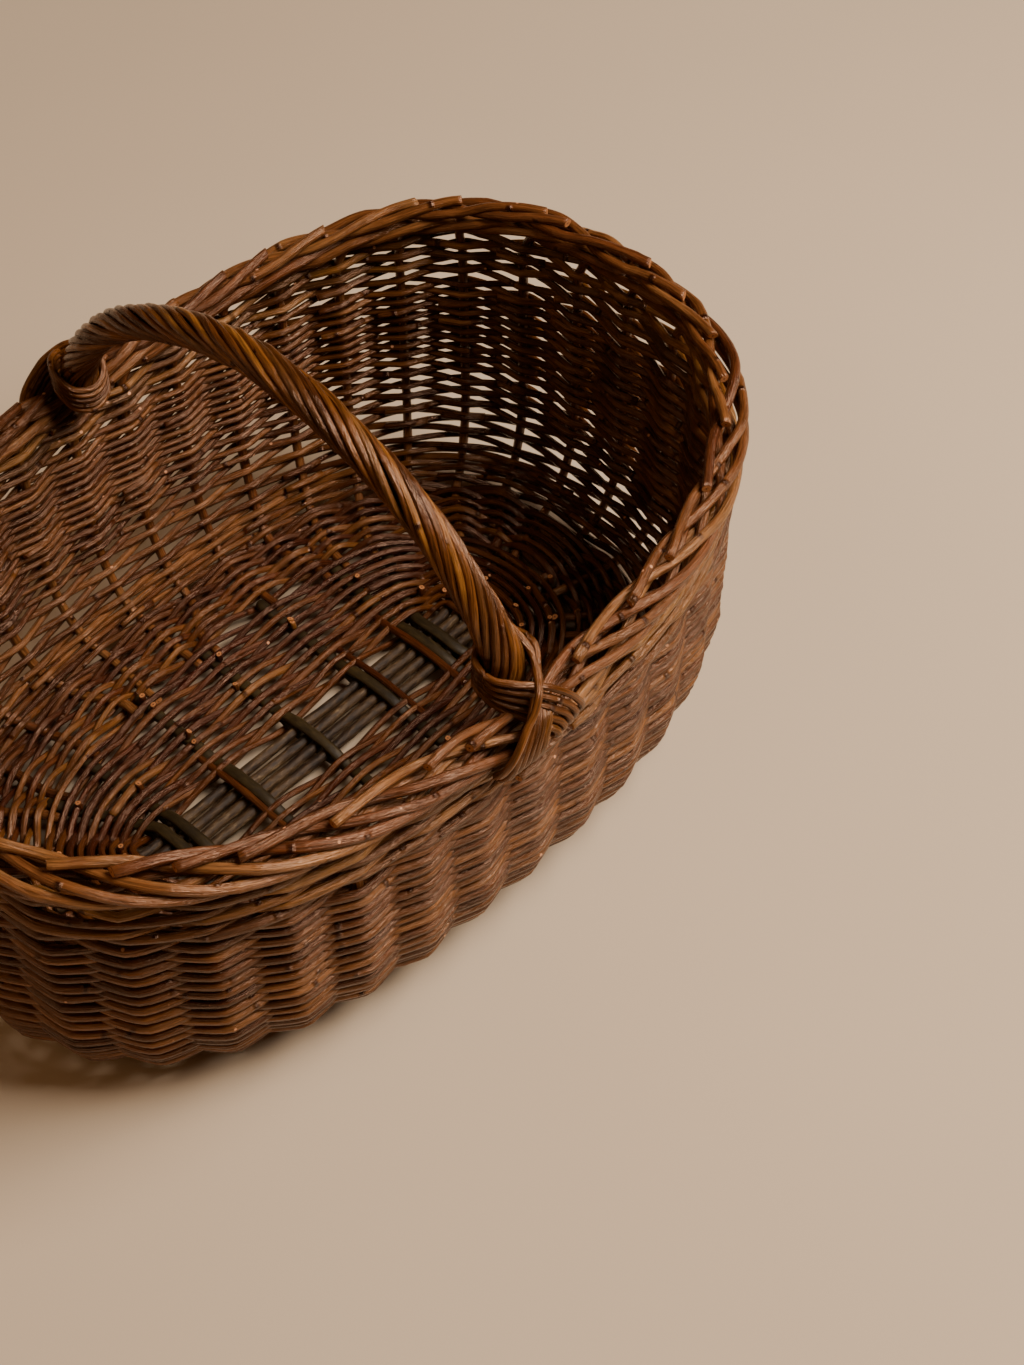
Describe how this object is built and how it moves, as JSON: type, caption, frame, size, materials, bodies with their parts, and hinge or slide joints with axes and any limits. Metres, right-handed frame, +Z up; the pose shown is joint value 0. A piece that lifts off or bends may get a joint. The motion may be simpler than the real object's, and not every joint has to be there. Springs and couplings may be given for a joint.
{
  "type": "oval willow basket",
  "caption": "Open oval basket woven from round rods, with a laid-down rod border, a stick-and-rod floor and a roped bow handle across the middle.",
  "frame": {"origin": "on the floor that the basket stands on, below the middle of its border", "axes": "+X along the basket's length, +Y across it towards the far foot of the handle, +Z up"},
  "size_m": [0.483, 0.34, 0.287],
  "materials": {
    "bark_sticks": "rough grey-olive bark",
    "floor_rods": "boiled willow, dull",
    "stakes": "boiled willow, semi-gloss",
    "side_rods": "boiled willow, semi-gloss",
    "wale_rods": "boiled willow, semi-gloss",
    "bow_stick": "smooth bark",
    "handle_rods": "boiled willow, semi-gloss"
  },
  "bodies": {
    "root": {"long_stick_1": "bark_sticks", "long_stick_2": "bark_sticks", "long_stick_3": "bark_sticks", "long_stick_4": "bark_sticks", "cross_stick_1": "bark_sticks", "cross_stick_2": "bark_sticks", "cross_stick_3": "bark_sticks", "cross_stick_4": "bark_sticks", "cross_stick_5": "bark_sticks", "cross_stick_6": "bark_sticks", "cross_stick_7": "bark_sticks", "floor_weaver": "floor_rods", "floor_edge_weaver": "floor_rods", "foot_round": "floor_rods", "stake_01": "stakes", "stake_02": "stakes", "stake_03": "stakes", "stake_04": "stakes", "stake_05": "stakes", "stake_06": "stakes", "stake_07": "stakes", "stake_08": "stakes", "stake_09": "stakes", "stake_10": "stakes", "stake_11": "stakes", "stake_12": "stakes", "stake_13": "stakes", "stake_14": "stakes", "stake_15": "stakes", "stake_16": "stakes", "stake_17": "stakes", "stake_18": "stakes", "stake_19": "stakes", "stake_20": "stakes", "stake_21": "stakes", "stake_22": "stakes", "stake_23": "stakes", "stake_24": "stakes", "stake_25": "stakes", "stake_26": "stakes", "stake_27": "stakes", "stake_28": "stakes", "stake_29": "stakes", "stake_30": "stakes", "stake_31": "stakes", "stake_32": "stakes", "stake_33": "stakes", "stake_34": "stakes", "stake_35": "stakes", "stake_36": "stakes", "stake_37": "stakes", "lower_weaver": "side_rods", "upper_weaver": "side_rods", "top_wale": "wale_rods", "handle_bow": "bow_stick", "handle_rope_1": "handle_rods", "handle_rope_2": "handle_rods", "handle_rope_3": "handle_rods", "near_binding": "handle_rods", "far_binding": "handle_rods"}
  },
  "joints": []
}
